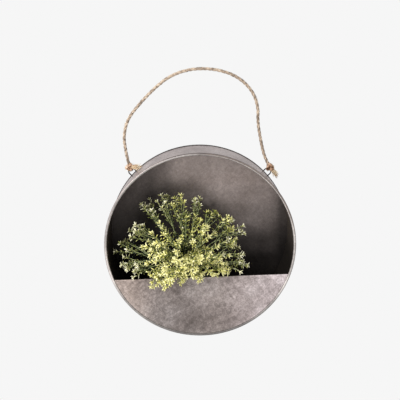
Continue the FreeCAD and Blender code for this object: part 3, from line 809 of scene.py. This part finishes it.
# The leaves' lengths in millimetres, their widths as shares of that, and how they stand on a stem. A
# leaf's tone is its own at PALER_FROM of its length, and grows paler from there to its tip.
LEAF_LENGTHS = (7.0, 9.2)
LEAF_BREADTHS = (0.24, 0.34)
LEAF_PITCH = 6.2 * MM
PAIR_SLANTS = (36, 56)
ROSETTE_SLANTS = (24, 46)
ROSETTE_LEAVES = 5
LEAF_SCATTER = 0.13
TONE_SCATTER = 0.2
PALER_TIP = 0.42
PALER_FROM = 0.55

# Where side stems may go: in front of the back plate and inside the band, and above the lip until they
# are past it, then in front of the panel.
BACK_CLEAR = -12 * MM
BAND_CLEAR = 162 * MM
PAST_LIP = -104 * MM
LIP_CLEAR = -44 * MM
PANEL_TOP = -50 * MM
PANEL_CLEAR = -110 * MM

# How a spray is branched. Slender sprays keep their side stems close, and those that face forwards have
# inner stems too. Each kind of stem has a share that is bare and a range of lengths, as shares of the
# main stem's; side stems leave it in a range of places and at a range of slants.
SPRAY_SEED = 100
SPRIG_POINTS = 7
STEM_STEPS = 6
STEM_RADIUS = 0.6 * MM
STEM_TAPER = 0.5
USUAL_SIDE_STEMS = 5
SIDE_STEMS = {12: 3, 13: 3, 14: 3, 17: 8, 18: 9, 19: 9, 20: 8, 21: 8}
INNER_STEMS = 4
FEW_INNER_STEMS = 3
MAIN_BARE, SLENDER_BARE, SIDE_BARE = 0.15, 0.40, 0.28
SIDE_END = 0.96
SIDE_LENGTHS = (0.78, 1.0)
INNER_LENGTHS = (0.36, 0.78)
INNER_RISES = (3, 9)
USUAL_PLACES, SLENDER_PLACES = (0.15, 0.62), (0.36, 0.78)
USUAL_SLANTS, SLENDER_SLANTS = (20, 38), (14, 30)
SLENDER = {1, 2, 3, 4, 5, 6, 7, 8, 9, 11, 12, 13, 14, 15, 16, 17, 18, 19, 20, 21}
FORWARD = {1, 2, 3, 4, 5, 6, 7, 9, 12, 22, 23, 24, 25, 26, 27, 28, 29, 30}

# The sprigs whose leaves are frosted; the others are lime. The leaves' tones grow from the stalk's end of a
# stem, which is paler on the side stems and palest in the front sprays, to the tone of its tip. The dark
# tones towards the stalk's end and on the filling stems are painted shade deep in the plant, the paler front
# sprays painted light, and the palest tips partly the leaves' own cream colour and partly painted highlight.
FROSTED = {1, 3, 4, 5, 8, 10, 11, 12, 13, 14, 15, 16}
TIP_TONES = {
    1: 0.72, 2: 0.76, 3: 0.76, 4: 0.45, 5: 0.95, 6: 0.55, 7: 0.85, 8: 0.86, 9: 0.78, 10: 0.92,
    11: 0.90, 12: 0.95, 13: 0.85, 14: 0.72, 15: 0.88, 16: 0.95, 17: 0.88, 18: 0.88, 19: 0.95, 20: 1.00,
    21: 1.00, 22: 0.92, 23: 0.60, 24: 0.95, 25: 1.00, 26: 1.00, 27: 1.00, 28: 0.90, 29: 1.00, 30: 1.00,
}
FIRST_FRONT_SPRAY = 17
MAIN_PAINTED_SHADE_TONE, SIDE_PAINTED_SHADE_TONE, FRONT_PAINTED_LIGHT_TONE, FILLING_PAINTED_SHADE_TONE = 0.02, 0.14, 0.46, 0.05
FILLING_SHARE = 0.7
TONE_GROWTH = 2.0


def leaf_shape():
    """One leaf, 1 long and 1 wide, narrow at its stalk and round at its end, cupped along its rib."""
    bm = bmesh.new()
    bmesh.ops.create_grid(bm, x_segments=4, y_segments=2, size=0.5)
    for vert in bm.verts:
        row = min(LEAF_WIDTHS, key=lambda x: abs(x - vert.co.x))
        if row == 0.5 and abs(vert.co.y) < 0.01:
            vert.co.x += LEAF_POINT
        vert.co.y *= LEAF_WIDTHS[row]
        vert.co.z = LEAF_CUP * abs(vert.co.y) - LEAF_BOW * (vert.co.x + 0.5) ** 2
        vert.co.x += 0.5
    bmesh.ops.recalc_face_normals(bm, faces=bm.faces[:])
    bmesh.ops.solidify(bm, geom=bm.faces[:], thickness=LEAF_THICKNESS)
    mesh = bpy.data.meshes.new("leaf_shape")
    bm.to_mesh(mesh)
    bm.free()
    return mesh


def along_line(line, share):
    """The point at a share of a line's length of points, and the line's direction there."""
    place = min(max(share, 0.0), 0.9999) * (len(line) - 1)
    index = int(place)
    return line[index].lerp(line[index + 1], place - index), (line[index + 1] - line[index]).normalized()


def sprig_line(node, crown):
    """The line of a sprig's stem: the middle of its solid at growing distances from the crown."""
    places = [vert.co.copy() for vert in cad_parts[node].data.vertices]
    reach = max((place - crown).length for place in places)
    near = min((place - crown).length for place in places)
    line = []
    for step in range(SPRIG_POINTS):
        low = near + (reach - near) * step / SPRIG_POINTS
        high = near + (reach - near) * (step + 1) / SPRIG_POINTS
        inside = [place for place in places if low <= (place - crown).length <= high]
        if inside:
            line.append(sum(inside, Vector()) / len(inside))
    return line


def kept_clear(place):
    """Move a point of a side stem off the back plate, the band, the pocket and the panel."""
    place = place.copy()
    place.y = min(place.y, BACK_CLEAR)
    if place.y > PAST_LIP:
        place.z = max(place.z, LIP_CLEAR)
        distance = math.hypot(place.x, place.z)
        if distance > BAND_CLEAR:
            place.x *= BAND_CLEAR / distance
            place.z *= BAND_CLEAR / distance
    elif place.z < PANEL_TOP:
        place.y = min(place.y, PANEL_CLEAR)
    return place


def side_stem(main, rng, places, slants):
    """A stem that leaves the main one at a slant, in a range of places, and bends back beside it."""
    share = rng.uniform(*places)
    here, along = along_line(main, share)
    out = scattered(rng)
    out = (out - along * out.dot(along)).normalized()
    length = run_length(main) * (SIDE_END - share) * rng.uniform(*SIDE_LENGTHS)
    slant = math.radians(rng.uniform(*slants))
    stem = []
    for step in range(STEM_STEPS + 1):
        t = step / STEM_STEPS
        ahead = length * t * math.cos(slant)
        aside = length * math.sin(slant) * t * (1.3 - 0.3 * t)
        place = here + along * ahead + out * aside
        stem.append(kept_clear(place) if step else place)
    return stem


def inner_stem(main, crown, rng):
    """A shorter stem that fills the plant between the longer ones and in front of them."""
    reach = (main[-1] - crown).normalized()
    way = (reach + Vector((rng.gauss(0, 0.3), -rng.uniform(0.1, 0.7), rng.gauss(0, 0.2)))).normalized()
    length = run_length(main) * rng.uniform(*INNER_LENGTHS)
    rise = Vector((0, 0, rng.uniform(*INNER_RISES) * MM))
    stem = [crown]
    for step in range(1, STEM_STEPS + 1):
        t = step / STEM_STEPS
        stem.append(kept_clear(crown + way * (length * t) + rise * math.sin(t * math.pi)))
    return stem


def add_leaf(bm, tone_layer, shape, base, along, across, length, width, tone):
    """Copy the leaf's shape to a place on a stem."""
    before = len(bm.verts)
    bm.from_mesh(shape)
    bm.verts.ensure_lookup_table()
    grown = bm.verts[before:]
    lift = along.cross(across).normalized()
    across = lift.cross(along).normalized()
    turn = Matrix((along * length, across * width, lift * length)).transposed().to_4x4()
    bmesh.ops.transform(bm, matrix=Matrix.Translation(base) @ turn, verts=grown)
    for vert, place in zip(grown, shape.vertices):
        vert[tone_layer] = tone + PALER_TIP * (place.co.x - PALER_FROM)


def set_leaves(bm, tone_layer, shape, stem, rng, tone_range, bare):
    """Pairs of leaves along a stem, each turned across the last, and a rosette at its end."""
    pairs = max(2, round(run_length(stem) * (1 - bare) / LEAF_PITCH))
    turn = rng.uniform(0, math.pi)

    def tone_at(share):
        low, high = tone_range
        tone = low + (high - low) * share ** TONE_GROWTH + rng.gauss(0, TONE_SCATTER)
        return min(max(tone, 0.0), 1.0)

    def turned(angle, along):
        return Matrix.Rotation(angle, 3, along) @ along.orthogonal().normalized()

    def leaf(here, along, around, slant, share, scale):
        aim = along * math.cos(slant) + around * math.sin(slant)
        aim = (aim + scattered(rng, LEAF_SCATTER)).normalized()
        size = rng.uniform(*LEAF_LENGTHS) * MM * scale
        add_leaf(bm, tone_layer, shape, here, aim, along.cross(around) + along * 0.15,
                 size, size * rng.uniform(*LEAF_BREADTHS), tone_at(share))

    for pair in range(pairs):
        share = bare + (1 - bare) * (pair + 0.2) / pairs
        here, along = along_line(stem, share)
        turn += math.pi / 2 + rng.uniform(-0.35, 0.35)
        around = turned(turn, along)
        for sign in (1, -1):
            slant = math.radians(rng.uniform(*PAIR_SLANTS))
            leaf(here, along, around * sign, slant, share, 0.78 + 0.22 * share)
    here, along = along_line(stem, 1.0)
    for petal in range(ROSETTE_LEAVES):
        around = turned(turn + petal * 2 * math.pi / ROSETTE_LEAVES, along)
        leaf(here, along, around, math.radians(rng.uniform(*ROSETTE_SLANTS)), 1.0, 0.92)
    leaf(here, along, along.orthogonal().normalized(), 0.1, 1.0, 0.8)


def spray(number, crown, shape, leaf_material, stem_material):
    """A sprig in full leaf: its own stem, side stems and inner stems, each set with leaves."""
    rng = random.Random(SPRAY_SEED + number)
    slender = number in SLENDER
    main = sprig_line("sprig_%02d" % number, crown)
    places = SLENDER_PLACES if slender else USUAL_PLACES
    slants = SLENDER_SLANTS if slender else USUAL_SLANTS
    pale = TIP_TONES[number]
    tones = (FRONT_PAINTED_LIGHT_TONE if number >= FIRST_FRONT_SPRAY else SIDE_PAINTED_SHADE_TONE, pale)
    # Each stem comes with the share of it that is bare and the tones of its leaves.
    stems = [(main, SLENDER_BARE if slender else MAIN_BARE, (MAIN_PAINTED_SHADE_TONE, pale))]
    for _ in range(SIDE_STEMS.get(number, USUAL_SIDE_STEMS)):
        stems.append((side_stem(main, rng, places, slants), SIDE_BARE, tones))
    if number in FORWARD:
        filling = (FILLING_PAINTED_SHADE_TONE, FILLING_SHARE * pale) if slender else tones
        for _ in range(FEW_INNER_STEMS if slender else INNER_STEMS):
            stems.append((inner_stem(main, crown, rng), SIDE_BARE, filling))
    bm = bmesh.new()
    tone_layer = bm.verts.layers.float.new("tone")
    lines = [stem for stem, _, _ in stems]
    bm.from_mesh(curve_mesh("stems", lines, STEM_RADIUS, resolution=0,
                            taper=lambda share: 1.0 - STEM_TAPER * share))
    stem_faces = len(bm.faces)
    for stem, bare, tone_range in stems:
        set_leaves(bm, tone_layer, shape, stem, rng, tone_range, bare)
    bm.faces.ensure_lookup_table()
    for face in bm.faces[:stem_faces]:
        face.material_index = 1
    piece = finish_piece("spray_%02d" % number, bm, leaf_material, stem_material)
    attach(piece, "plant")
    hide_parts("sprig_%02d" % number)


# -------------------------------------------------------------------------- light and ground

PAPER = 0.9216
WORLD_LIGHT = 0.42
LAMPS = (
    ("key", (-1.5, -1.9, 1.3), 0.5, 84.0),
    ("fill", (1.9, -1.9, 0.7), 1.6, 8.0),
)
LAMP_AIM = Vector((0, 0, 0.05))
FLOOR_DROP = 0.55
FLOOR_SIZE = 6.0


def seen_directly(nodes, links):
    """1 for a ray from the camera or one reflected from the object, else 0."""
    path = nodes.new("ShaderNodeLightPath")
    total = path.outputs["Is Camera Ray"]
    for name in ("Is Glossy Ray", "Is Transmission Ray"):
        both = nodes.new("ShaderNodeMath")
        both.operation = "MAXIMUM"
        links.new(total, both.inputs[0])
        links.new(path.outputs[name], both.inputs[1])
        total = both.outputs[0]
    return total


def studio():
    """Two lamps in a pale room."""
    world = bpy.data.worlds.new("studio")
    bpy.context.scene.world = world
    world.use_nodes = True
    nodes, links = world.node_tree.nodes, world.node_tree.links
    light = nodes["Background"]
    light.inputs["Color"].default_value = (1, 1, 1, 1)
    light.inputs["Strength"].default_value = WORLD_LIGHT
    paper = nodes.new("ShaderNodeBackground")
    paper.inputs["Color"].default_value = (PAPER, PAPER, PAPER, 1)
    mix = nodes.new("ShaderNodeMixShader")
    links.new(seen_directly(nodes, links), mix.inputs[0])
    links.new(light.outputs[0], mix.inputs[1])
    links.new(paper.outputs[0], mix.inputs[2])
    links.new(mix.outputs[0], nodes["World Output"].inputs["Surface"])

    for name, place, size, watts in LAMPS:
        lamp = bpy.data.lights.new(name, "AREA")
        lamp.size = size
        lamp.energy = watts
        holder = bpy.data.objects.new(name, lamp)
        holder.location = place
        holder.rotation_euler = (LAMP_AIM - Vector(place)).to_track_quat("-Z", "Y").to_euler()
        bpy.context.scene.collection.objects.link(holder)


def floor():
    """A pale floor well below the planter, as bright as the background."""
    bm = bmesh.new()
    bmesh.ops.create_grid(bm, x_segments=1, y_segments=1, size=FLOOR_SIZE,
                          matrix=Matrix.Translation((0, 0, cad_low.z - FLOOR_DROP)))
    pale = Finish("pale_floor")
    pale.colour((0.8, 0.8, 0.8))
    pale.surface(roughness=1.0)
    glow = pale.node("ShaderNodeEmission")
    glow.inputs["Color"].default_value = (PAPER, PAPER, PAPER, 1)
    mix = pale.node("ShaderNodeMixShader")
    pale.links.new(seen_directly(pale.nodes, pale.links), mix.inputs[0])
    pale.links.new(pale.shader.outputs[0], mix.inputs[1])
    pale.links.new(glow.outputs[0], mix.inputs[2])
    pale.links.new(mix.outputs[0], pale.nodes["Material Output"].inputs["Surface"])
    ground = finish_piece("floor", bm, pale.material, smooth=False)


# ------------------------------------------------------------------------------- assembly

photograph_camera()
jute = jute_finish("jute_rope", "7d6f62", "ad9986", "cdbba6", 130.0, 0.5)
rope(jute)
fibre = jute_finish("jute_fibre", "b4946f", "dcc3a0", "f3e4c8", 90.0)
knot_fibre = jute_finish("jute_knot", "45270f", "ab8469", "ead0b8", 150.0)
for each in ("left", "right"):
    knot(each, knot_fibre, fibre)

zinc_outside = zinc_finish("zinc_outside", "8a7e7c", "a39896", "b9afad", 0.6).material
# Painted shade: the band's inside is a dark copy of the sheet, darker still towards the bottom.
zinc_inside_painted_shade = paint_light_and_shade(plain_metal("zinc_inside_painted_shade", "453e38", 0.55), (
    ("Object", "Z", ((-44, 0.34), (-26, 0.5), (-9, 1.0), (8, 1.35))),
))
# Painted shade and light: the bead's flank is a darker copy of the sheet, painted paler towards the left.
zinc_flank_painted_shade_and_light = paint_light_and_shade(zinc_finish("zinc_flank_painted_shade_and_light", "5d5654", "776e6b", "8a817e", 0.5), (
    ("Object", "X", ((-180, 2.2), (-120, 1.6), (-40, 1.0), (180, 1.0))),
))
# Painted highlight: the bead's crest is a paler copy of the sheet; its masks paint shade towards the bottom
# and at the upper left, and light at the lower left and lower right.
crest_painted_light_and_shade_masks = (
    ("Object", "Z", ((-180, 0.42), (-110, 0.62), (-60, 0.85), (40, 1.0))),
    ("From", (-125, -98, 125), ((0, 0.62), (40, 0.68), (90, 1.0))),
    ("From", (-171, -98, -46), ((0, 1.5), (30, 1.4), (60, 1.0))),
    ("From", (153, -98, -88), ((0, 1.6), (40, 1.0))),
)
crest_painted_highlight_colours = ("a19c9b", "b9b3b0", "cbc6c2", 0.5, 0.7)
zinc_crest_painted_highlight = paint_light_and_shade(zinc_finish("zinc_crest_painted_highlight", *crest_painted_highlight_colours), crest_painted_light_and_shade_masks)
# Along the upper right the front of the bead is painted dark as shade, beside its pale inner edge; elsewhere
# it has the crest's painted highlight.
zinc_groove_painted_light_and_shade = paint_light_and_shade(zinc_finish("zinc_groove_painted_light_and_shade", *crest_painted_highlight_colours), (
    *crest_painted_light_and_shade_masks,
    ("From", (109, -98, 140), ((0, (0.44, 0.39, 0.36)), (95, (0.48, 0.43, 0.40)), (140, 1.0))),
))
# Painted shade: the back plate grows darker towards its sides and down to the pocket, with a painted shadow
# of the plant behind it.
zinc_back_painted_shade = paint_light_and_shade(zinc_finish("zinc_back_painted_shade", "938680", "a69994", "b4a7a2", 0.5), (
    ("Object", "Z", ((-60, 0.09), (-25, 0.15), (30, 0.38), (75, 0.64), (130, 1.07))),
    ("Object", "X", ((-150, 0.33), (-95, 0.32), (-70, 0.5), (-30, 0.95), (138, 1.0), (150, 0.85),
                     (164, 0.42))),
    ("From", (-38, 0, 0), ((70, 0.45), (85, 0.6), (118, 1.0))),
))
# Painted shade: the plate's turned edge is dark along the back of the band.
zinc_edge_painted_shade = plain_metal("zinc_edge_painted_shade", "3c3836", 0.5).material
rim_band(zinc_outside, zinc_inside_painted_shade, zinc_flank_painted_shade_and_light, zinc_crest_painted_highlight, zinc_groove_painted_light_and_shade)
back_plate(zinc_back_painted_shade, zinc_edge_painted_shade, zinc_outside)
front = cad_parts["front_panel"]
front.data.materials.clear()
# The panel is painted dark inside the pocket as shade; across its front, painted shade darkens its middle
# and a patch low on its left, and painted light makes it palest towards its right.
front.data.materials.append(paint_light_and_shade(zinc_finish("zinc_front_painted_light_and_shade", "8d827e", "a79c98", "beb4b1"), (
    ("Normal", "Y", ((0.4, 1.0), (0.6, 0.03))),
    ("Object", "X", ((-140, (1.08, 1.03, 0.98)), (-85, 0.84), (-20, 0.78), (30, 0.86),
                     (80, (1.14, 1.14, 1.18)), (140, (1.3, 1.3, 1.38)))),
    ("From", (-53, -98, -143), ((0, 0.72), (30, 0.78), (70, 1.0))),
)))
dark_wire = wire_finish()
for each in ("left", "right"):
    wire_loop(each, dark_wire)

crown_low, crown_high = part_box("stem_crown")
CROWN_RADIUS = (crown_high.x - crown_low.x) / 2
crown_middle = Vector(((crown_low.x + crown_high.x) / 2, (crown_low.y + crown_high.y) / 2,
                       crown_high.z - CROWN_RADIUS))
# The ramps' darkest ends are painted shade deep in the plant, and their palest ends partly a painted
# highlight.
lime = leaf_finish(
    "leaf_lime", (0.0, "161f12"), (0.25, "36461f"), (0.5, "868c3c"), (0.75, "e6e07e"), (1.0, "fffabc"))
frosted = leaf_finish(
    "leaf_frosted", (0.0, "151e18"), (0.25, "2f3c26"), (0.5, "737a38"), (0.75, "c4c27e"), (1.0, "fcf8da"))
stalk = leaf_finish("stalk", (0.0, "b6bf88"), (1.0, "d2d6a6"))
shape = leaf_shape()
for number in sorted(TIP_TONES):
    spray(number, crown_middle, shape, frosted if number in FROSTED else lime, stalk)
for node, material in (("foam_block", foam_finish()), ("stem_crown", stalk)):
    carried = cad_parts[node]
    carried.data.materials.clear()
    carried.data.materials.append(material)

studio()
floor()
scene = bpy.context.scene
scene.view_settings.view_transform = "Standard"
